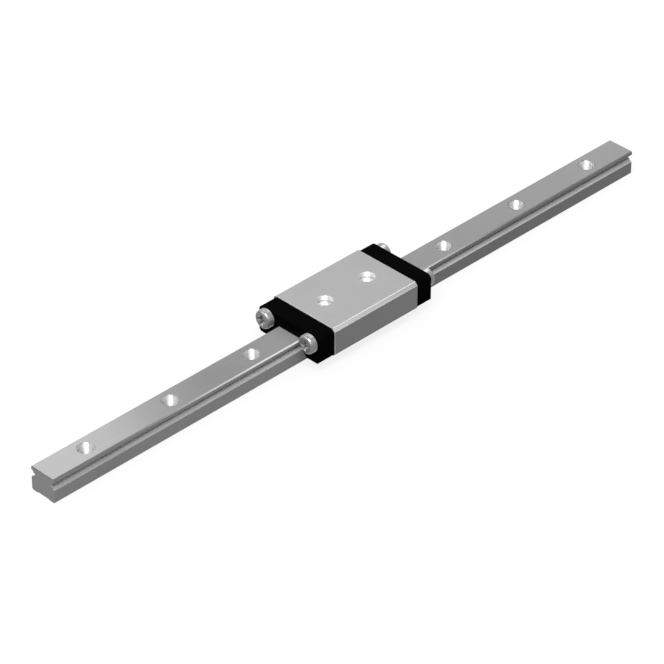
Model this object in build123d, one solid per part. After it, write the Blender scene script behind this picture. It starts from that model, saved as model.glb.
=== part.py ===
from build123d import *
import os
from math import asin, cos, floor, pi, radians, sin, sqrt

# Miniature linear guide: a slim ground rail and a long ball carriage with screwed end caps.
# X runs along the rail, Y across it and Z up. The origin is the middle of the rail's base.
# "front" is the end towards -X and "left" is the side towards +Y.

# Rail, mm
rail_w = 3.0
rail_h = 2.6
rail_l = 75.0
rail_top_chamfer = 0.11
rail_foot_chamfer = 0.13
rail_relief_w = 1.5
rail_relief_h = 0.08
rail_hole_d = 1.6
rail_hole_pitch = 10.0
rail_hole_end = 5.0
rail_end_group = 3
rail_hole_chamfer = 0.05

# Balls and the raceways that carry them
ball_d = 0.8
ball_play = 0.01
ball_spacing_gap = 0.01
ball_outside_rail = 0.1
raceway_below_top = 0.79
raceway_conformity = 0.05
contact_angle = radians(45)
raceway_lip_chamfer = 0.01
raceway_lip_depth = 0.05
return_play = 0.03

# Wire that keeps the loaded balls in when the carriage leaves the rail
wire_d = 0.1
wire_ball_gap = 0.02
wire_floor_gap = 0.03
wire_side_gap = 0.06
wire_bend_r = 0.12
wire_groove_gap = 0.01
wire_seal_end_gap = 0.05

# Steel block of the carriage
block_w = 8.0
block_l = 10.7
block_rise = 1.4
block_top_chamfer = 0.3
block_foot_chamfer = 0.22
block_channel_chamfer = 0.25
channel_roof_gap = 0.25
return_outer_wall = 0.33
return_lower_wall = 0.38
block_hole_d = 1.6
block_hole_pitch = 5.5
block_thread_depth = 0.65
block_hole_relief = 0.06
carriage_x = -0.52

# End caps and the turns inside them
cap_step = 0.1
cap_top_r = 0.51
cap_foot_chamfer = 0.23
cap_edge_chamfer = 0.03
cap_rail_gap = 0.05
turn_web = 0.27
scoop_tip_gap = 0.08
skirt_mouth = 0.83
guide_step = 0.12
guide_flange = 0.1
guide_gap = 0.01

# End seals
seal_t = 0.33
seal_recess = 0.1
seal_leg_w = 0.3
seal_above_rail = 0.7
seal_corner_r = 0.3
seal_lip_gap = 0.03
seal_pocket_gap = 0.01

# Screws that hold the caps
screw_d = 1.0
screw_bite = 2.1
screw_hole_extra = 0.4
screw_thread_gap = 0.01
screw_cap_gap = 0.04
screw_head_d = 1.9
screw_head_h = 0.77
screw_head_edge_r = 0.26
screw_head_seal_gap = 0.06
screw_turn_wall = 0.1
recess_span = 1.0
recess_w = 0.2
recess_depth = 0.4

# Worked out from the sizes above
rail_half = rail_w / 2
ball_r = ball_d / 2
ball_y = rail_half + ball_outside_rail
ball_z = rail_h - raceway_below_top
raceway_r = ball_r * (1 + raceway_conformity) + ball_play
raceway_shift = ball_r * raceway_conformity * cos(contact_angle)
return_r = ball_r + return_play
return_y = block_w / 2 - return_outer_wall - return_r
turn_r = (return_y - ball_y) / 2
turn_y = (return_y + ball_y) / 2
wire_r = wire_d / 2
wire_y = ball_y - ball_r - wire_ball_gap - wire_r
slot_floor_y = wire_y - wire_r - wire_floor_gap
slot_half_h = wire_r + wire_side_gap
block_top = rail_h + block_rise
block_bottom = ball_z - return_r - return_lower_wall
channel_half = ball_y + ball_outside_rail
channel_roof = rail_h + channel_roof_gap
seal_floor = turn_r + return_r + turn_web
seal_face = seal_floor + seal_t
cap_l = seal_face + seal_recess
guide_r = turn_r - guide_step
guide_half_h = return_r + guide_flange
screw_r = screw_d / 2
screw_hole_r = screw_r + screw_thread_gap
screw_cap_hole_r = screw_r + screw_cap_gap
screw_head_r = screw_head_d / 2
seal_half_w = rail_half + seal_leg_w
screw_y = seal_half_w + screw_head_seal_gap + screw_head_r
screw_z = ball_z + guide_half_h + guide_gap + screw_turn_wall + screw_cap_hole_r
wire_leg_u = seal_floor - wire_r - wire_groove_gap
scoop_tip_y = ball_y - ball_r + scoop_tip_gap
cut = 1.0


# Shared shapes

def rect(y0, y1, z0, z1):
    """A rectangle of the cross-section, from its limits in Y and Z."""
    return Pos((y0 + y1) / 2, (z0 + z1) / 2) * Rectangle(y1 - y0, z1 - z0)


def area(*points):
    """A straight-sided area of the cross-section."""
    return make_face(Polyline(*points, close=True))


def both(shape):
    """A cross-section on the left side, with its mirror image on the right."""
    return shape + mirror(shape, about=Plane.YZ)


def along(profile, x0, x1):
    """A cross-section run along the rail from x0 to x1."""
    return extrude(Plane.YZ.offset(x0) * profile, amount=x1 - x0)


def gothic(shift, radius):
    """The pointed-arch hollow of a raceway, between two arcs that each meet the ball at one point."""
    upper = Pos(ball_y + shift, ball_z - raceway_shift) * Circle(radius)
    lower = Pos(ball_y + shift, ball_z + raceway_shift) * Circle(radius)
    return upper & lower


def bore_x(y, z, radius, x0, x1):
    """A round bar along X, used to cut holes."""
    return Pos((x0 + x1) / 2, y, z) * Rotation(0, 90, 0) * Cylinder(radius, x1 - x0)


# Rail

def rail_hole_places():
    """Each end has a group at the full pitch, and the gap between the groups is shared out evenly."""
    first = rail_l / 2 - rail_hole_end
    group = [first - rail_hole_pitch * i for i in range(rail_end_group)]
    gap = 2 * group[-1]
    spans = max(1, floor(gap / rail_hole_pitch))
    middle = [-group[-1] + gap / spans * i for i in range(1, spans)]
    return sorted([-x for x in group] + middle + group)


def rail_side_groove():
    """One raceway of the rail: arch, widened lips, and the slot that the retaining wire runs in."""
    lip_z = sqrt(raceway_r ** 2 - (ball_outside_rail + raceway_shift) ** 2) - raceway_shift + raceway_lip_chamfer
    inner_y = rail_half - raceway_lip_depth
    inner_z = lip_z - raceway_lip_depth
    outer_y = rail_half + cut
    outer_z = lip_z + cut
    lips = area((inner_y, ball_z - inner_z), (outer_y, ball_z - outer_z),
                (outer_y, ball_z + outer_z), (inner_y, ball_z + inner_z))
    lips = lips & rect(inner_y, outer_y, ball_z - lip_z, ball_z + lip_z)
    slot = rect(slot_floor_y, ball_y, ball_z - slot_half_h, ball_z + slot_half_h)
    return gothic(raceway_shift, raceway_r) + lips + slot


def make_rail():
    c = rail_top_chamfer
    f = rail_foot_chamfer
    profile = area((-rail_half + f, 0), (rail_half - f, 0), (rail_half, f), (rail_half, rail_h - c),
                   (rail_half - c, rail_h), (-rail_half + c, rail_h), (-rail_half, rail_h - c), (-rail_half, f))
    profile -= both(rail_side_groove())
    w = rail_relief_w / 2
    h = rail_relief_h
    profile -= area((-w - h, -h), (w + h, -h), (w - h, h), (-w + h, h))
    rail = along(profile, -rail_l / 2, rail_l / 2)
    rail_hole_r = rail_hole_d / 2
    mouth_r = rail_hole_r + rail_hole_chamfer
    for x in rail_hole_places():
        rail -= Pos(x, 0, rail_h / 2) * Cylinder(rail_hole_r, rail_h + cut)
        rail -= Pos(x, 0, rail_h - rail_hole_chamfer / 2) * Cone(rail_hole_r, mouth_r, rail_hole_chamfer)
    return rail


# Carriage block

def make_block():
    w = block_w / 2
    t = block_top_chamfer
    f = block_foot_chamfer
    k = block_channel_chamfer
    outline = area((-w + f, block_bottom), (w - f, block_bottom), (w, block_bottom + f), (w, block_top - t),
                   (w - t, block_top), (-w + t, block_top), (-w, block_top - t), (-w, block_bottom + f))
    channel = rect(-channel_half, channel_half, block_bottom - cut, channel_roof)
    flare = area((channel_half, block_bottom + k), (channel_half + k, block_bottom),
                 (channel_half + k, block_bottom - cut), (channel_half, block_bottom - cut))
    raceway = gothic(-raceway_shift, raceway_r) + Pos(return_y, ball_z) * Circle(return_r)
    profile = outline - channel - both(flare) - both(raceway)
    end = block_l / 2
    block = along(profile, -end, end)
    hole_r = block_hole_d / 2
    mouth = block_top - block_thread_depth
    for x in (-block_hole_pitch / 2, block_hole_pitch / 2):
        block -= Pos(x, 0, block_top) * Cylinder(hole_r, 2 * block_thread_depth)
        relief_h = mouth - channel_roof + cut
        block -= Pos(x, 0, mouth - relief_h / 2) * Cylinder(hole_r + block_hole_relief, relief_h)
    depth = screw_bite + screw_hole_extra
    for y in (-screw_y, screw_y):
        block -= bore_x(y, screw_z, screw_hole_r, end - depth, end)
        block -= bore_x(y, screw_z, screw_hole_r, -end, depth - end)
    return Pos(carriage_x, 0, 0) * block


# Pieces of one end, drawn with u = x outwards from the block's end face

def to_end(piece, end):
    """Puts a piece of one end at the rear (end = 1) or, mirrored, at the front (end = -1)."""
    if end < 0:
        piece = mirror(piece, about=Plane.YZ)
    return Pos(carriage_x + end * block_l / 2, 0, 0) * piece


def rail_opening(gap):
    """The hole for the rail: it follows the rail's top and dips into the raceways above the ball's middle."""
    half = rail_half + gap
    tongue = gothic(raceway_shift, raceway_r - gap) & rect(scoop_tip_y, ball_y + cut, ball_z, ball_z + cut)
    mouth_y = rail_half + skirt_mouth
    knee_y = mouth_y - (ball_z - block_bottom)
    skirt = area((0, ball_z), (knee_y, ball_z), (mouth_y, block_bottom),
                 (mouth_y, block_bottom - cut), (0, block_bottom - cut))
    return both(rect(0, half, block_bottom - cut, rail_h + gap) - tongue) + both(skirt)


def turn_tube():
    """The half ring that turns the balls from the loaded row into the return bore."""
    return Pos(0, turn_y, ball_z) * Torus(turn_r, return_r)


def half_drum(radius, half_h):
    """A half cylinder about the middle of the turn, flat against the block's end face."""
    drum = Pos(0, turn_y, ball_z) * Cylinder(radius, 2 * half_h)
    return drum & Pos(radius / 2, turn_y, ball_z) * Box(radius, 2 * radius, 2 * half_h)


def seal_outline(gap):
    """The seal's outer shape across the rail, grown by gap for its pocket."""
    half = seal_half_w + gap
    shape = rect(-half, half, block_bottom - cut, rail_h + seal_above_rail + gap)
    upper = shape.vertices().group_by(Axis.Y)[-1]
    return fillet(upper, seal_corner_r)


def make_cap():
    w = block_w / 2 - cap_step
    outline = rect(-w, w, block_bottom, block_top - cap_step)
    outline = fillet(outline.vertices().group_by(Axis.Y)[-1], cap_top_r)
    outline = chamfer(outline.vertices().group_by(Axis.Y)[0], cap_foot_chamfer)
    cap = along(outline, 0, cap_l)
    cap = chamfer(cap.faces().sort_by(Axis.X)[-1].edges(), cap_edge_chamfer)
    cap -= along(rail_opening(cap_rail_gap), -cut, cap_l + cut)
    cap -= along(seal_outline(seal_pocket_gap), seal_floor, cap_l + cut)
    groove_u = seal_floor - wire_d - 2 * wire_groove_gap
    groove_end = seal_half_w - wire_seal_end_gap + wire_groove_gap
    groove_half_h = wire_r + wire_groove_gap
    for side in (1, -1):
        turn = turn_tube() + half_drum(guide_r + guide_gap, guide_half_h + guide_gap)
        turn += bore_x(screw_y, screw_z, screw_cap_hole_r, -cut, cap_l + cut)
        groove = rect(0, groove_end, ball_z - groove_half_h, ball_z + groove_half_h)
        turn += along(groove, groove_u, seal_floor)
        if side < 0:
            turn = mirror(turn, about=Plane.XZ)
        cap -= turn
    return cap


def make_seal():
    profile = seal_outline(0) - rail_opening(seal_lip_gap)
    return along(profile, seal_floor, seal_face)


def make_guide(side):
    """Half spool that keeps the balls on the outside of the turn."""
    guide = half_drum(guide_r, guide_half_h) - turn_tube()
    if side < 0:
        guide = mirror(guide, about=Plane.XZ)
    return guide


def make_screw(side):
    """Pan-head screw with a cross recess, from under its head inwards."""
    head = Pos(cap_l + screw_head_h / 2, 0, 0) * Rotation(0, 90, 0) * Cylinder(screw_head_r, screw_head_h)
    head = fillet(head.faces().sort_by(Axis.X)[-1].edges(), screw_head_edge_r)
    shank = bore_x(0, 0, screw_r, -screw_bite, cap_l)
    shank = chamfer(shank.faces().sort_by(Axis.X)[0].edges(), screw_r / 4)
    recess_x = cap_l + screw_head_h - recess_depth / 2
    recess = Pos(recess_x, 0, 0) * (Box(recess_depth, recess_span, recess_w) + Box(recess_depth, recess_w, recess_span))
    return Pos(0, side * screw_y, screw_z) * (head + shank - recess)


# Balls and wires

def ball_rows():
    """Centres of one circuit's balls, by stretch, on the left side: x from the carriage's middle, and y."""
    step = ball_d + ball_spacing_gap
    end = block_l / 2
    spans = floor(block_l / step)
    row = [-end + block_l / spans * i for i in range(spans + 1)]
    turn_spans = floor(pi / (2 * asin(step / (2 * turn_r))))
    turn = []
    for i in range(1, turn_spans):
        a = pi * i / turn_spans
        turn.append((end + turn_r * sin(a), turn_y - turn_r * cos(a)))
    return {"loaded": [(x, ball_y) for x in row],
            "return": [(x, return_y) for x in row],
            "rear_turn": turn,
            "front_turn": [(-x, y) for x, y in turn]}


def make_balls(centres, side):
    spheres = []
    for x, y in centres:
        spheres.append((Pos(carriage_x + x, side * y, ball_z) * Sphere(ball_r)).solid())
    return Compound(spheres)


def make_wire(side):
    """Straight along the raceway, with both ends bent outwards under the seals."""
    end = block_l / 2 + wire_leg_u
    leg = seal_half_w - wire_seal_end_gap
    points = [(carriage_x - end, side * leg, ball_z), (carriage_x - end, side * wire_y, ball_z),
              (carriage_x + end, side * wire_y, ball_z), (carriage_x + end, side * leg, ball_z)]
    path = FilletPolyline(*points, radius=wire_bend_r)
    section = Plane(origin=points[0], z_dir=(0, -side, 0)) * Circle(wire_r)
    return sweep(section, path=path)


# Files

os.makedirs("parts", exist_ok=True)

export_step(make_rail(), "parts/rail.step")
export_step(make_block(), "parts/carriage_block.step")

for end_name, end_sign in (("front", -1), ("rear", 1)):
    export_step(to_end(make_cap(), end_sign), f"parts/end_cap_{end_name}.step")
    export_step(to_end(make_seal(), end_sign), f"parts/end_seal_{end_name}.step")
    for side_name, side_sign in (("left", 1), ("right", -1)):
        where = f"{end_name}_{side_name}"
        export_step(to_end(make_guide(side_sign), end_sign), f"parts/turn_guide_{where}.step")
        export_step(to_end(make_screw(side_sign), end_sign), f"parts/cap_screw_{where}.step")

for side_name, side_sign in (("left", 1), ("right", -1)):
    export_step(make_wire(side_sign), f"parts/ball_wire_{side_name}.step")
    for stretch, centres in ball_rows().items():
        export_step(make_balls(centres, side_sign), f"parts/balls_{side_name}_{stretch}.step")
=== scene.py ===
import math

import bmesh
import bpy
from mathutils import Matrix, Vector


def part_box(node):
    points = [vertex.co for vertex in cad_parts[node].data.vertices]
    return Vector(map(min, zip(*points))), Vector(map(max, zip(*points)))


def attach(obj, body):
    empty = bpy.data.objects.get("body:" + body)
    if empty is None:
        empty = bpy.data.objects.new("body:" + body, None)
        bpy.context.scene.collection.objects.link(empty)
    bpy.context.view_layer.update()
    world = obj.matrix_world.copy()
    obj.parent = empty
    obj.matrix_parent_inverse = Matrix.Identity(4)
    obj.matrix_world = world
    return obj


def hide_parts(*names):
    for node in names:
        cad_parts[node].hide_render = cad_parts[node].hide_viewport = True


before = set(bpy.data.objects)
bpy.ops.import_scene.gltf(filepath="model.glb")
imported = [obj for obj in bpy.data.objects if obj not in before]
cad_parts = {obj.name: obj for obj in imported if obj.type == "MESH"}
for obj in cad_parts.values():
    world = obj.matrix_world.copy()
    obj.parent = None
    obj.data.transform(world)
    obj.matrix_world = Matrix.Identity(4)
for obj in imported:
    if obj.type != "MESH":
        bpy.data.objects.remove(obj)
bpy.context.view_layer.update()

# Camera, fitted to the photograph: pixels, radians and metres, with the sensor in millimetres
picture_side = 664
focal_pixels = 3729.2
camera_azimuth = math.radians(-44.764)
camera_elevation = math.radians(35.12)
camera_distance = 0.344961
camera_right = -0.00163
camera_up = -0.0009295
camera_near = 0.01
camera_far = 10.0
sensor_width = 36.0

# Mesh finishing, metres and radians
weld = 2e-7
flat_angle = math.radians(0.5)
crease_angle = math.radians(28)
steel_edge = 3e-5
plastic_edge = 4e-5
edge_steps = 2

# How a face is known by its normal: square on to an axis, upright, running along the rail, or a long chamfer
square_on = 0.95
upright = 0.3
lengthwise = 0.1
chamfer_slope = (0.6, 0.8)

# Bores seen from above: where their axes stand along X, and how far their walls reach from the axis
rail_bores = (-0.0325, -0.0225, -0.0125, 0.0, 0.0125, 0.0225, 0.0325)
carriage_bores = (-0.00327, 0.00223)
bore_reach = 0.0009

# Root of the thread in the tapped holes: how far below the top it is, and its depth and half width
thread_root = 0.00053
thread_depth = 0.00005
thread_half_width = 0.00006

# Raceway of the rail: its lowest and highest point, how far out its slot's floor is, and where the slot opens
raceway_low = 0.00139
raceway_high = 0.00223
raceway_inner = 0.001
slot_mouth = 0.00118

# Cap screws, metres: pan head with a tapered cross recess
head_radius = 0.00094
head_height = 0.00075
shank_radius = 0.0005
head_edge_radius = 0.00026
head_edge_steps = 6
head_rim_break = 0.00003
screw_turns = 56
recess_span = 0.00108
recess_arm = 0.00026
recess_heart = 0.00021
recess_floor_span = 0.00056
recess_floor_arm = 0.00014
recess_floor_heart = 0.00012
recess_depth = 0.00028
recess_tip_depth = 0.00036
tip_taper = 0.00022

# Painted shade in the screws' recesses, by depth and by distance from the axis: full at the first of each
# pair, and gone at the second
recess_shade_depths = (0.0002, 0.00003)
recess_shade_radii = (0.0005, 0.0006)

# Where the cap screws stand, from the frame
left_low, left_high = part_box("cap_screw_front_left")
right_low, right_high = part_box("cap_screw_front_right")
front_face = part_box("end_cap_front")[0][0]
rear_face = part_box("end_cap_rear")[1][0]
screws_apart = (left_low[1] + left_high[1]) / 2 - (right_low[1] + right_high[1]) / 2
screw_up = (left_low[2] + left_high[2]) / 2
shank_length = left_high[0] - front_face
carriage_middle = (front_face + rear_face) / 2
head_face = (rear_face - front_face) / 2 + head_height

# Ball circuits
balls_each_side = 32
ball_facets = 3

# Grain of the finishes: how often it repeats in a metre, and the height of its relief in metres
ground_lines = (220.0, 9000.0, 9000.0)
ground_height = 1.5e-6
steel_cloud = 260.0
turned_marks = (300.0, 300.0, 24000.0)
mould_grain = 14000.0
mould_height = 3e-6
plating_mottle = 5000.0

# Floor, metres: its tone, and the light that it gives off to stay pale
floor_side = 4.0
floor_tone = 0.04
floor_glow = 0.83

# Soft dome of the studio: its levels at the floor and overhead, and the height on a unit globe from which it
# keeps the second
dome_levels = (1.0, 1.6)
dome_rise = 0.4

# Panels in the dome: azimuth, elevation, half width inside the soft edge and outside it, all in degrees, and
# strength. A negative strength is a dark card.
panels = (
    (57, 39.5, 6.0, 8.4, 5.0),
    (47.9, 36, 0.2, 1.6, -1.2),
    (37, 31, 2, 6, 0.5),
    (-45.0, 35.7, 0.4, 3.2, 7.5),
    (-31.5, 44, 0.5, 5.0, 1.0),
    (-18.8, 51, 0.5, 5.5, 3.0),
    (120, 45, 10, 18, 3.3),
    (9, 52, 5, 9, 8.0),
    (30, 43, 4, 8, 8.0),
    (-62, 58, 5, 10, 6.0),
    (-135, 64, 14, 24, 22.0),
    (-100, 30, 8, 20, 2.0),
    (150, 46, 6, 16, 7.0),
    (-160, 42, 7, 17, 7.0),
    (-140, 26, 4, 12, 6.0),
)


# Shared helpers

def add_node(tree, kind, inputs=None, **settings):
    """A node with its settings, its inputs given as sockets to link or as plain values."""
    node = tree.nodes.new(kind)
    for name, value in settings.items():
        setattr(node, name, value)
    for name, value in (inputs or {}).items():
        if isinstance(value, bpy.types.NodeSocket):
            tree.links.new(value, node.inputs[name])
        else:
            node.inputs[name].default_value = value
    return node


def times(tree, first, second):
    """The product of two numbers."""
    product = add_node(tree, "ShaderNodeMath", {0: first, 1: second}, operation="MULTIPLY")
    return product.outputs["Value"]


def spread(tree, value, low, high, start, end, **settings):
    """A value that runs from start to end, mapped to run from low to high."""
    mapped = add_node(tree, "ShaderNodeMapRange", {"Value": value, "From Min": start, "From Max": end,
                                                   "To Min": low, "To Max": high}, **settings)
    return mapped.outputs["Result"]


def new_piece(name, mesh):
    """An object at the origin, in the scene."""
    piece = bpy.data.objects.new(name, mesh)
    bpy.context.scene.collection.objects.link(piece)
    return piece


def put_on(piece, body, slot, *nodes):
    """The piece rides on a body and stands for nodes of the frame; its slot argument is not used. The
    carriage stays out of mirrored light, so that the rail's bright edges mirror the room alone, right up to
    it."""
    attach(piece, body)
    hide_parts(*nodes)
    piece.visible_glossy = body != "carriage"


# Materials

def principled(name, **values):
    """A material with an empty tree but for its shader, whose own sockets hold the uniform values."""
    material = bpy.data.materials.new(name)
    material.use_nodes = True
    tree = material.node_tree
    shader = tree.nodes["Principled BSDF"]
    for socket, value in values.items():
        shader.inputs[socket.replace("_", " ")].default_value = value
    return material, tree, shader


def object_place(tree):
    """Where a point lies on its piece, which is its place in the frame at rest."""
    return add_node(tree, "ShaderNodeTexCoord").outputs["Object"]


def stretched(tree, where, scale):
    """A place scaled by its own factor along each axis."""
    return add_node(tree, "ShaderNodeMapping", {"Vector": where, "Scale": scale}).outputs["Vector"]


def noise(tree, where, scale, detail, roughness=0.5):
    """A soft noise between 0 and 1."""
    texture = add_node(tree, "ShaderNodeTexNoise", {"Vector": where, "Scale": scale, "Detail": detail,
                                                    "Roughness": roughness})
    return texture.outputs["Fac"]


def vary(tree, pattern, value, low, high):
    """A value times a factor that follows a noise from low to high, over the range where most noise lies."""
    return spread(tree, pattern, value * low, value * high, 0.3, 0.7)


def paint(tree, shader, tone, shade, blue=1.0):
    """The shader's colour: a grey tone, its blue scaled, times a shade that changes over the surface."""
    colour = add_node(tree, "ShaderNodeVectorMath", {0: (tone, tone, tone * blue), "Scale": shade},
                      operation="SCALE")
    tree.links.new(colour.outputs["Vector"], shader.inputs["Base Color"])


def raise_grain(tree, shader, pattern, strength, height):
    """Fine relief that follows a pattern."""
    relief = add_node(tree, "ShaderNodeBump", {"Strength": strength, "Distance": height, "Height": pattern})
    tree.links.new(relief.outputs["Normal"], shader.inputs["Normal"])


def set_tangent(tree, shader, axis):
    """The axis that the drawn-out gloss is measured from."""
    tangent = add_node(tree, "ShaderNodeCombineXYZ", {axis: 1.0})
    tree.links.new(tangent.outputs["Vector"], shader.inputs["Tangent"])


def ground_steel(name, tone, rough, metal, painted_falloff=None):
    """Steel ground lengthwise: fine lines along X in its gloss and height, and a faint cloud in its tone. A
    painted falloff of the tone along X, painted shade that darkens the +X end, is (start, end, factor at the
    start, factor at the end)."""
    material, tree, shader = principled(name, Metallic=metal, Specular_IOR_Level=0.2, Anisotropic=0.4,
                                        Anisotropic_Rotation=0.25)
    where = object_place(tree)
    lines = noise(tree, stretched(tree, where, ground_lines), 1.0, 3.0, 0.6)
    shade = vary(tree, noise(tree, where, steel_cloud, 2.0), 1.0, 0.97, 1.03)
    # Painted shade: the tone falls off along X, darker towards the +X end.
    if painted_falloff:
        start, end, first, last = painted_falloff
        along = add_node(tree, "ShaderNodeSeparateXYZ", {"Vector": where}).outputs["X"]
        shade = times(tree, shade, spread(tree, along, first, last, start, end))
    paint(tree, shader, tone, shade, blue=1.01)
    tree.links.new(vary(tree, lines, rough, 0.85, 1.18), shader.inputs["Roughness"])
    raise_grain(tree, shader, lines, 0.2, ground_height)
    set_tangent(tree, shader, "X")
    return material


def bored_steel(name, tone, rough, metal):
    """The wall of a bore, its tone far above the steel around it: painted light in the shaded bore.
    Turned marks round it draw its gloss out along the bore.
    """
    material, tree, shader = principled(name, Metallic=metal, Anisotropic=0.9)
    rings = noise(tree, stretched(tree, object_place(tree), turned_marks), 1.0, 2.0)
    paint(tree, shader, tone, vary(tree, rings, 1.0, 0.94, 1.06))
    tree.links.new(vary(tree, rings, rough, 0.9, 1.1), shader.inputs["Roughness"])
    set_tangent(tree, shader, "Z")
    return material


def moulded_plastic(name, tone, rough, shine):
    """Satin plastic with the fine grain of its mould."""
    material, tree, shader = principled(name, Specular_IOR_Level=shine)
    grain = noise(tree, object_place(tree), mould_grain, 2.0)
    paint(tree, shader, tone, vary(tree, grain, 1.0, 0.9, 1.1))
    tree.links.new(vary(tree, grain, rough, 0.9, 1.1), shader.inputs["Roughness"])
    raise_grain(tree, shader, grain, 0.3, mould_height)
    return material


def recess_shade(tree, darkest_shade):
    """1 over the heads of the cap screws, and less down their recesses: painted shade in the recesses. The
    four heads are folded into one about the carriage's middle, with X outwards from the head's face."""

    def step(kind, first, second=(0.0, 0.0, 0.0)):
        return add_node(tree, "ShaderNodeVectorMath", {0: first, 1: second}, operation=kind).outputs["Vector"]

    folded = step("ABSOLUTE", step("SUBTRACT", object_place(tree), (carriage_middle, 0.0, screw_up)))
    local = step("SUBTRACT", folded, (head_face, screws_apart / 2, 0.0))
    outward = add_node(tree, "ShaderNodeSeparateXYZ", {"Vector": local}).outputs["X"]
    sideways = step("MULTIPLY", local, (0.0, 1.0, 1.0))
    radius = add_node(tree, "ShaderNodeVectorMath", {0: sideways}, operation="LENGTH").outputs["Value"]
    deep = spread(tree, outward, 1.0, 0.0, -recess_shade_depths[0], -recess_shade_depths[1])
    near = spread(tree, radius, 1.0, 0.0, *recess_shade_radii)
    return spread(tree, times(tree, deep, near), 1.0, darkest_shade, 0.0, 1.0)


def plated_steel(name, tone, rough, metal, mottled, recess=None):
    """Bright plated steel, mottled by a share of its tone. In a recess the tone falls to the given factor, as
    painted shade.
    """
    material, tree, shader = principled(name, Metallic=metal)
    mottle = noise(tree, object_place(tree), plating_mottle, 3.0)
    shade = vary(tree, mottle, 1.0, 1 - mottled, 1 + mottled)
    # Painted shade down the cross recesses
    if recess:
        shade = times(tree, shade, recess_shade(tree, recess))
    paint(tree, shader, tone, shade, blue=0.99)
    tree.links.new(vary(tree, mottle, rough, 0.8, 1.25), shader.inputs["Roughness"])
    return material


# Rail finishes: one ground steel whose tone is set face by face to how light falls there: painted light and
# shade. The upper flank, lower flank and slot are painted lighter where they lie in shade, the top and ends
# get tones of their own, and the polished chamfer has real gloss plus a painted highlight in its raised tone.
rail_steel = ground_steel("rail_steel", tone=0.088, rough=0.14, metal=0.4, painted_falloff=(-0.01, 0.01, 1.02, 0.66))
rail_top = ground_steel("rail_top", tone=0.075, rough=0.09, metal=0.3)
rail_end = ground_steel("rail_end", tone=0.091, rough=0.2, metal=0.4)
lower_flank = ground_steel("lower_flank", tone=0.14, rough=0.14, metal=0.6)
upper_flank = ground_steel("upper_flank", tone=0.19, rough=0.14, metal=0.4, painted_falloff=(-0.01, 0.01, 1.0, 0.72))
slot_steel = ground_steel("slot_steel", tone=0.21, rough=0.2, metal=0.4, painted_falloff=(-0.01, 0.01, 1.0, 0.8))
polished_chamfer = ground_steel("polished_chamfer", tone=0.102, rough=0.09, metal=0.95)
# Carriage finishes: the same ground steel, its top painted lighter than its sides and its chamfers given a
# tone of their own, as painted light and shade.
block_steel = ground_steel("block_steel", tone=0.08, rough=0.16, metal=0.5)
block_top = ground_steel("block_top", tone=0.128, rough=0.16, metal=0.5, painted_falloff=(-0.006, 0.005, 1.03, 0.98))
block_chamfer = ground_steel("block_chamfer", tone=0.074, rough=0.1, metal=0.9)
# A bright tone on the carriage's broken edges: a painted highlight.
block_corner_highlight = ground_steel("block_corner_highlight", tone=0.25, rough=0.2, metal=0.6)
# Bore walls: a tone far above the steel's, painted light inside the shaded bores; their band is also the
# lamp's drawn-out gloss.
plain_bore = bored_steel("plain_bore", tone=0.52, rough=0.5, metal=0.97)
tapped_bore = bored_steel("tapped_bore", tone=0.76, rough=0.45, metal=0.97)
cap_plastic = moulded_plastic("cap_plastic", tone=0.0005, rough=0.5, shine=0.001)
seal_rubber = moulded_plastic("seal_rubber", tone=0.001, rough=0.7, shine=0.002)
guide_plastic = moulded_plastic("guide_plastic", tone=0.6, rough=0.4, shine=0.4)
# The recess factor is painted shade down the screws' cross recesses.
screw_steel = plated_steel("screw_steel", tone=0.11, rough=0.18, metal=0.62, mottled=0.2, recess=0.6)
wire_steel = plated_steel("wire_steel", tone=0.4, rough=0.3, metal=1.0, mottled=0.06)
ball_steel = plated_steel("ball_steel", tone=0.6, rough=0.06, metal=1.0, mottled=0.02)


# Pieces whose shape the frame has already: a welded copy with its edges broken

def on_bore(bores):
    """What chooses the upright faces that look towards the axis of a bore."""
    def chosen(face):
        middle = face.calc_center_median()
        for x in bores:
            inward = Vector((x - middle.x, -middle.y, 0.0))
            if inward.length < bore_reach and abs(face.normal.z) < upright and face.normal.dot(inward) > 0:
                return True
        return False
    return chosen


def in_raceway(face):
    """Faces along the rail between the lips of a raceway."""
    middle = face.calc_center_median()
    between_lips = raceway_low < middle.z < raceway_high and abs(middle.y) > raceway_inner
    return between_lips and abs(face.normal.x) < lengthwise


def on_lower_flank(face):
    return in_raceway(face) and face.normal.z > 0.0


def on_upper_flank(face):
    return in_raceway(face) and face.normal.z < 0.0


def on_slot(face):
    return in_raceway(face) and abs(face.calc_center_median().y) < slot_mouth


def on_top(face):
    return face.normal.z > square_on and face.calc_center_median().z > raceway_high


def on_end(face):
    return abs(face.normal.x) > square_on


def on_long_chamfer(face):
    """The sloping faces along the top edges."""
    sloping = abs(face.normal.x) < lengthwise and chamfer_slope[0] < face.normal.z < chamfer_slope[1]
    return sloping and face.calc_center_median().z > raceway_high


def cut_thread_root(shape):
    """A groove round the wall of each tapped hole, where a root of its thread is."""
    top = max(vertex.co.z for vertex in shape.verts)
    chosen = on_bore(carriage_bores)
    for offset in (-thread_half_width, 0.0, thread_half_width):
        walls = [face for face in shape.faces if chosen(face)]
        around = {edge for face in walls for edge in face.edges}
        corners = {vertex for face in walls for vertex in face.verts}
        height = top - thread_root + offset
        cut = bmesh.ops.bisect_plane(shape, geom=[*walls, *around, *corners], dist=weld,
                                     plane_co=(0.0, 0.0, height), plane_no=(0.0, 0.0, 1.0))
        if offset == 0.0:
            ring = [item for item in cut["geom_cut"] if isinstance(item, bmesh.types.BMVert)]
            for vertex in ring:
                x = min(carriage_bores, key=lambda axis: abs(axis - vertex.co.x))
                outward = Vector((vertex.co.x - x, vertex.co.y, 0.0))
                vertex.co += outward.normalized() * thread_depth


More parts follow.
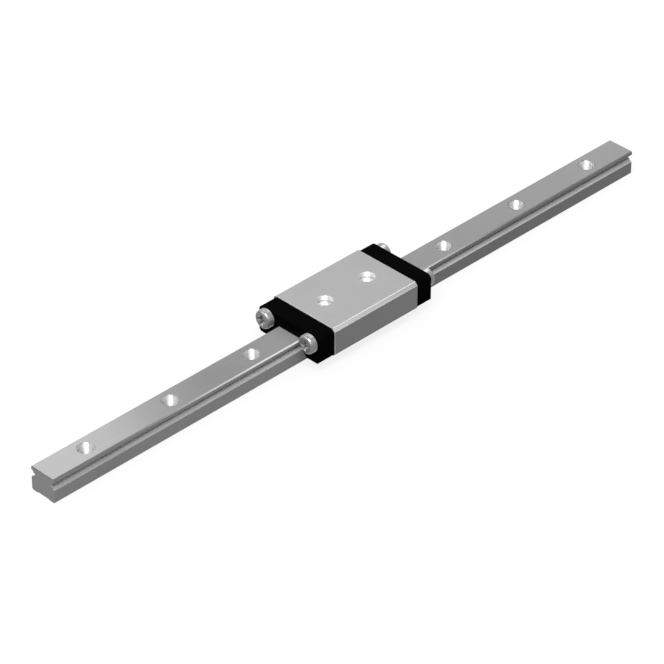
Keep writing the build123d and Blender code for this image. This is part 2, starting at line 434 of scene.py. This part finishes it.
def dressed(node, name, edge, material, slot, body, corner=None, patches=(), shaping=None):
    """A node's shape, welded and with its edges broken, stands for the node. Each patch is a material and
    what chooses its faces, the corner material goes on the broken edges, and shaping works on the mesh."""
    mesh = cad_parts[node].data.copy()
    mesh.materials.clear()
    for finish in (material, *[finish for finish, chosen in patches], corner or material):
        mesh.materials.append(finish)
    shape = bmesh.new()
    shape.from_mesh(mesh)
    bmesh.ops.remove_doubles(shape, verts=shape.verts, dist=weld)
    bmesh.ops.dissolve_limit(shape, angle_limit=flat_angle, verts=shape.verts, edges=shape.edges)
    shape.normal_update()
    if shaping:
        shaping(shape)
        shape.normal_update()
    for face in shape.faces:
        for index, (finish, chosen) in enumerate(patches):
            if chosen(face):
                face.material_index = index + 1
    shape.to_mesh(mesh)
    shape.free()
    mesh.shade_smooth()
    mesh.set_sharp_from_angle(angle=crease_angle)
    piece = new_piece(name, mesh)
    edge_bevel = piece.modifiers.new("broken_edges", "BEVEL")
    edge_bevel.width = edge
    edge_bevel.segments = edge_steps
    edge_bevel.limit_method = "ANGLE"
    edge_bevel.angle_limit = crease_angle
    edge_bevel.harden_normals = True
    # For the carriage the corner material is a painted highlight along the broken edges; for the rail it is
    # the polished chamfer.
    edge_bevel.material = len(patches) + 1
    put_on(piece, body, slot, node)


# Each patch on the rail is the same steel with its own tone: painted light and shade.
dressed("rail", "guide_rail", steel_edge, rail_steel, "rail_steel", "rail", corner=polished_chamfer,
        patches=((lower_flank, on_lower_flank), (upper_flank, on_upper_flank), (slot_steel, on_slot),
                 (polished_chamfer, on_long_chamfer), (rail_top, on_top), (rail_end, on_end),
                 (plain_bore, on_bore(rail_bores))))
# The carriage's top and chamfer patches are painted light and shade on one steel.
dressed("carriage_block", "carriage_body", steel_edge, block_steel, "block_steel", "carriage",
        corner=block_corner_highlight, shaping=cut_thread_root,
        patches=((tapped_bore, on_bore(carriage_bores)), (block_chamfer, on_long_chamfer),
                 (block_top, on_top)))
for end in ("front", "rear"):
    dressed(f"end_cap_{end}", f"cap_moulding_{end}", plastic_edge, cap_plastic, "cap_plastic", "carriage")
    dressed(f"end_seal_{end}", f"seal_lip_{end}", plastic_edge, seal_rubber, "seal_rubber", "carriage")

# Pieces that stay as the frame has them: they take their material, and keep out of mirrored light too
for name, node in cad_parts.items():
    for start, material in (("turn_guide", guide_plastic), ("ball_wire", wire_steel)):
        if name.startswith(start):
            node.data.materials.clear()
            node.data.materials.append(material)
            node.visible_glossy = False


# Geometry node trees for what repeats

def new_tree(name, sizes):
    """A modifier tree with its named sizes as inputs: the tree, its input node and its output node."""
    tree = bpy.data.node_groups.new(name, "GeometryNodeTree")
    tree.is_modifier = True
    tree.interface.new_socket("Geometry", in_out="INPUT", socket_type="NodeSocketGeometry")
    for size, kind in sizes:
        tree.interface.new_socket(size, in_out="INPUT", socket_type=kind)
    tree.interface.new_socket("Geometry", in_out="OUTPUT", socket_type="NodeSocketGeometry")
    return tree, tree.nodes.new("NodeGroupInput"), tree.nodes.new("NodeGroupOutput")


def finish_tree(tree, given, result, shape):
    """Every tree ends with real meshes in one material."""
    real = add_node(tree, "GeometryNodeRealizeInstances", {"Geometry": shape})
    clad = add_node(tree, "GeometryNodeSetMaterial", {"Geometry": real.outputs["Geometry"],
                                                      "Material": given.outputs["Material"]})
    tree.links.new(clad.outputs["Geometry"], result.inputs["Geometry"])


def grow(piece, tree, values):
    """Runs the tree on the piece and keeps its result as a plain mesh."""
    modifier = piece.modifiers.new(tree.name, "NODES")
    modifier.node_group = tree
    for item in tree.interface.items_tree:
        if item.in_out == "INPUT" and item.name in values:
            modifier[item.identifier] = values[item.name]
    whole = piece.evaluated_get(bpy.context.evaluated_depsgraph_get())
    mesh = bpy.data.meshes.new_from_object(whole)
    piece.modifiers.remove(modifier)
    piece.data = mesh


# Cap screws: one is turned in mesh code, and a tree puts it in its four places

def cross_outline(span, arm, heart):
    """The twelve corners of a cross recess in (Y, Z), with its inner corners pushed out to the heart."""
    reach = span / 2
    half = arm / 2
    quarter = ((reach, -half), (reach, half), (heart, heart))
    corners = []
    for c, s in ((1, 0), (0, 1), (-1, 0), (0, -1)):
        corners += [(y * c - z * s, y * s + z * c) for y, z in quarter]
    return corners


def turned_screw():
    """A pan head screw along X with the underside of its head at X = 0 and its head towards -X."""
    face_radius = head_radius - head_edge_radius
    profile = []
    for step in range(head_edge_steps + 1):
        angle = math.radians(90 / head_edge_steps * step)
        profile.append((-head_height + head_edge_radius * (1 - math.cos(angle)),
                        face_radius + head_edge_radius * math.sin(angle)))
    profile += [(-head_rim_break, head_radius), (0.0, head_radius - head_rim_break), (0.0, shank_radius),
                (shank_length - tip_taper, shank_radius), (shank_length, shank_radius - tip_taper)]
    shape = bmesh.new()

    def ring(points):
        return [shape.verts.new(point) for point in points]

    def wall(first, second):
        for i in range(len(first)):
            j = (i + 1) % len(first)
            shape.faces.new((first[i], first[j], second[j], second[i]))

    def sides(loop):
        return [shape.edges.get((loop[i], loop[(i + 1) % len(loop)])) for i in range(len(loop))]

    turns = [2 * math.pi * i / screw_turns for i in range(screw_turns)]
    rings = [ring([(x, r * math.cos(t), r * math.sin(t)) for t in turns]) for x, r in profile]
    for first, second in zip(rings, rings[1:]):
        wall(first, second)
    shape.faces.new(rings[-1])

    mouth = ring([(-head_height, y, z) for y, z in cross_outline(recess_span, recess_arm, recess_heart)])
    floor = ring([(-head_height + recess_depth, y, z)
                  for y, z in cross_outline(recess_floor_span, recess_floor_arm, recess_floor_heart)])
    wall(mouth, floor)
    point = shape.verts.new((-head_height + recess_tip_depth, 0.0, 0.0))
    for i in range(len(floor)):
        shape.faces.new((floor[i], floor[(i + 1) % len(floor)], point))
    bmesh.ops.triangle_fill(shape, use_beauty=True, use_dissolve=False, edges=sides(rings[0]) + sides(mouth),
                            normal=(-1.0, 0.0, 0.0))
    bmesh.ops.recalc_face_normals(shape, faces=shape.faces)
    mesh = bpy.data.meshes.new("cap_screws")
    shape.to_mesh(mesh)
    shape.free()
    mesh.shade_smooth()
    mesh.set_sharp_from_angle(angle=crease_angle)
    return mesh


def screw_tree():
    """Two screws side by side on each end of the carriage, the rear ones turned round."""
    tree, given, result = new_tree("four_cap_screws", (
        ("Across", "NodeSocketFloat"), ("Height", "NodeSocketFloat"), ("Front Face", "NodeSocketFloat"),
        ("Rear Face", "NodeSocketFloat"), ("Material", "NodeSocketMaterial")))
    left = times(tree, given.outputs["Across"], 0.5)
    right = times(tree, left, -1.0)
    both_ends = tree.nodes.new("GeometryNodeJoinGeometry")
    for face, turn in (("Front Face", 0.0), ("Rear Face", math.pi)):
        ends = [add_node(tree, "ShaderNodeCombineXYZ", {"X": given.outputs[face], "Y": side,
                                                        "Z": given.outputs["Height"]}).outputs["Vector"]
                for side in (left, right)]
        pair = add_node(tree, "GeometryNodeMeshLine", {"Count": 2, "Start Location": ends[0],
                                                       "Offset": ends[1]}, mode="END_POINTS")
        screws = add_node(tree, "GeometryNodeInstanceOnPoints",
                          {"Points": pair.outputs["Mesh"], "Instance": given.outputs["Geometry"],
                           "Rotation": (0.0, 0.0, turn)})
        tree.links.new(screws.outputs["Instances"], both_ends.inputs["Geometry"])
    finish_tree(tree, given, result, both_ends.outputs["Geometry"])
    return tree


def make_screws():
    piece = new_piece("cap_screws", turned_screw())
    grow(piece, screw_tree(), {"Across": screws_apart, "Height": screw_up, "Front Face": front_face,
                               "Rear Face": rear_face, "Material": screw_steel})
    put_on(piece, "carriage", "screw_steel", *[f"cap_screw_{end}_{side}" for end in ("front", "rear")
                                               for side in ("left", "right")])


# Balls: a tree strings them along both closed circuits

def ball_tree():
    """On each side an oblong circuit with round ends, its rows a gap apart and its balls evenly spaced."""
    tree, given, result = new_tree("ball_circuits", (
        ("Ball Radius", "NodeSocketFloat"), ("Loaded Row", "NodeSocketFloat"),
        ("Return Row", "NodeSocketFloat"), ("Row Height", "NodeSocketFloat"),
        ("Front Turn", "NodeSocketFloat"), ("Rear Turn", "NodeSocketFloat"),
        ("Balls", "NodeSocketInt"), ("Material", "NodeSocketMaterial")))

    def work(kind, first, second):
        return add_node(tree, "ShaderNodeMath", {0: first, 1: second}, operation=kind).outputs["Value"]

    sizes = given.outputs
    gap = work("SUBTRACT", sizes["Return Row"], sizes["Loaded Row"])
    turn = work("MULTIPLY", gap, 0.5)
    run = work("SUBTRACT", sizes["Rear Turn"], sizes["Front Turn"])
    middle = work("MULTIPLY", work("ADD", sizes["Rear Turn"], sizes["Front Turn"]), 0.5)
    out = work("MULTIPLY", work("ADD", sizes["Return Row"], sizes["Loaded Row"]), 0.5)
    oblong = add_node(tree, "GeometryNodeCurvePrimitiveQuadrilateral", {"Width": work("ADD", run, gap),
                                                                        "Height": gap})
    circuit = add_node(tree, "GeometryNodeFilletCurve", {"Curve": oblong.outputs["Curve"], "Radius": turn,
                                                         "Limit Radius": True}, mode="BEZIER")
    places = add_node(tree, "GeometryNodeResampleCurve", {"Curve": circuit.outputs["Curve"],
                                                          "Count": sizes["Balls"]}, mode="COUNT")
    ball = add_node(tree, "GeometryNodeMeshIcoSphere", {"Radius": sizes["Ball Radius"],
                                                        "Subdivisions": ball_facets})
    smooth = add_node(tree, "GeometryNodeSetShadeSmooth", {0: ball.outputs["Mesh"]})
    balls = add_node(tree, "GeometryNodeInstanceOnPoints", {"Points": places.outputs["Curve"],
                                                            "Instance": smooth.outputs[0]})
    both_sides = tree.nodes.new("GeometryNodeJoinGeometry")
    for side in (out, work("MULTIPLY", out, -1.0)):
        spot = add_node(tree, "ShaderNodeCombineXYZ", {"X": middle, "Y": side, "Z": sizes["Row Height"]})
        moved = add_node(tree, "GeometryNodeTransform", {"Geometry": balls.outputs["Instances"],
                                                         "Translation": spot.outputs["Vector"]})
        tree.links.new(moved.outputs["Geometry"], both_sides.inputs["Geometry"])
    finish_tree(tree, given, result, both_sides.outputs["Geometry"])
    return tree


def make_balls():
    """The rows and turns are where the frame has them: the turns start at the steel block's ends."""
    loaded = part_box("balls_left_loaded")
    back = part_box("balls_left_return")
    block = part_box("carriage_block")
    radius = (loaded[1][2] - loaded[0][2]) / 2
    piece = new_piece("ball_circuits", bpy.data.meshes.new("ball_circuits"))
    grow(piece, ball_tree(), {
        "Ball Radius": radius, "Loaded Row": (loaded[0][1] + loaded[1][1]) / 2,
        "Return Row": (back[0][1] + back[1][1]) / 2, "Row Height": (loaded[0][2] + loaded[1][2]) / 2,
        "Front Turn": block[0][0], "Rear Turn": block[1][0], "Balls": balls_each_side,
        "Material": ball_steel})
    put_on(piece, "carriage", "ball_steel", *[f"balls_{side}_{run}" for side in ("left", "right")
                                              for run in ("loaded", "return", "front_turn", "rear_turn")])


make_screws()
make_balls()


# Floor, light and camera

def make_floor():
    bpy.ops.mesh.primitive_plane_add(size=floor_side)
    floor = bpy.context.object
    floor.name = "floor"
    material, _, shader = principled("floor_paint", Roughness=0.9, Specular_IOR_Level=0.0,
                                     Emission_Strength=floor_glow)
    shader.inputs["Base Color"].default_value = (floor_tone, floor_tone, floor_tone, 1.0)
    shader.inputs["Emission Color"].default_value = (1.0, 1.0, 1.0, 1.0)
    floor.data.materials.append(material)


def direction(azimuth, elevation):
    """A unit vector: azimuth turns from +X towards +Y, elevation rises from the floor, both in degrees."""
    a = math.radians(azimuth)
    e = math.radians(elevation)
    return Vector((math.cos(a) * math.cos(e), math.sin(a) * math.cos(e), math.sin(e)))


def light_studio():
    """The level of the dome and of each panel, added up in the world's own light."""
    world = bpy.data.worlds.new("studio")
    bpy.context.scene.world = world
    world.use_nodes = True
    tree = world.node_tree
    towards = add_node(tree, "ShaderNodeTexCoord").outputs["Generated"]
    up = add_node(tree, "ShaderNodeSeparateXYZ", {"Vector": towards}).outputs["Z"]
    level = spread(tree, up, *dome_levels, 0.0, dome_rise, interpolation_type="SMOOTHSTEP")
    for azimuth, elevation, inner, outer, strength in panels:
        facing = add_node(tree, "ShaderNodeVectorMath", {0: towards, 1: direction(azimuth, elevation)},
                          operation="DOT_PRODUCT").outputs["Value"]
        panel = spread(tree, facing, 0.0, strength, math.cos(math.radians(outer)),
                       math.cos(math.radians(inner)), interpolation_type="SMOOTHSTEP")
        level = add_node(tree, "ShaderNodeMath", {0: level, 1: panel}, operation="ADD").outputs["Value"]
    tree.links.new(level, tree.nodes["Background"].inputs["Strength"])
    tree.nodes["Background"].inputs["Color"].default_value = (1.0, 1.0, 1.0, 1.0)


def place_camera():
    """The camera stands back from the frame's origin, shifted right and up in its own plane."""
    data = bpy.data.cameras.new("photograph")
    data.sensor_width = sensor_width
    data.lens = focal_pixels / picture_side * sensor_width
    data.clip_start = camera_near
    data.clip_end = camera_far
    camera = bpy.data.objects.new("photograph", data)
    bpy.context.scene.collection.objects.link(camera)
    back = Vector((math.sin(camera_azimuth) * math.cos(camera_elevation),
                   -math.cos(camera_azimuth) * math.cos(camera_elevation), math.sin(camera_elevation)))
    right = Vector((math.cos(camera_azimuth), math.sin(camera_azimuth), 0.0))
    up = back.cross(right)
    turn = Matrix((right, up, back)).transposed().to_4x4()
    where = right * camera_right + up * camera_up + back * camera_distance
    camera.matrix_world = Matrix.Translation(where) @ turn
    bpy.context.scene.camera = camera


make_floor()
light_studio()
place_camera()
bpy.context.scene.view_settings.view_transform = "Standard"
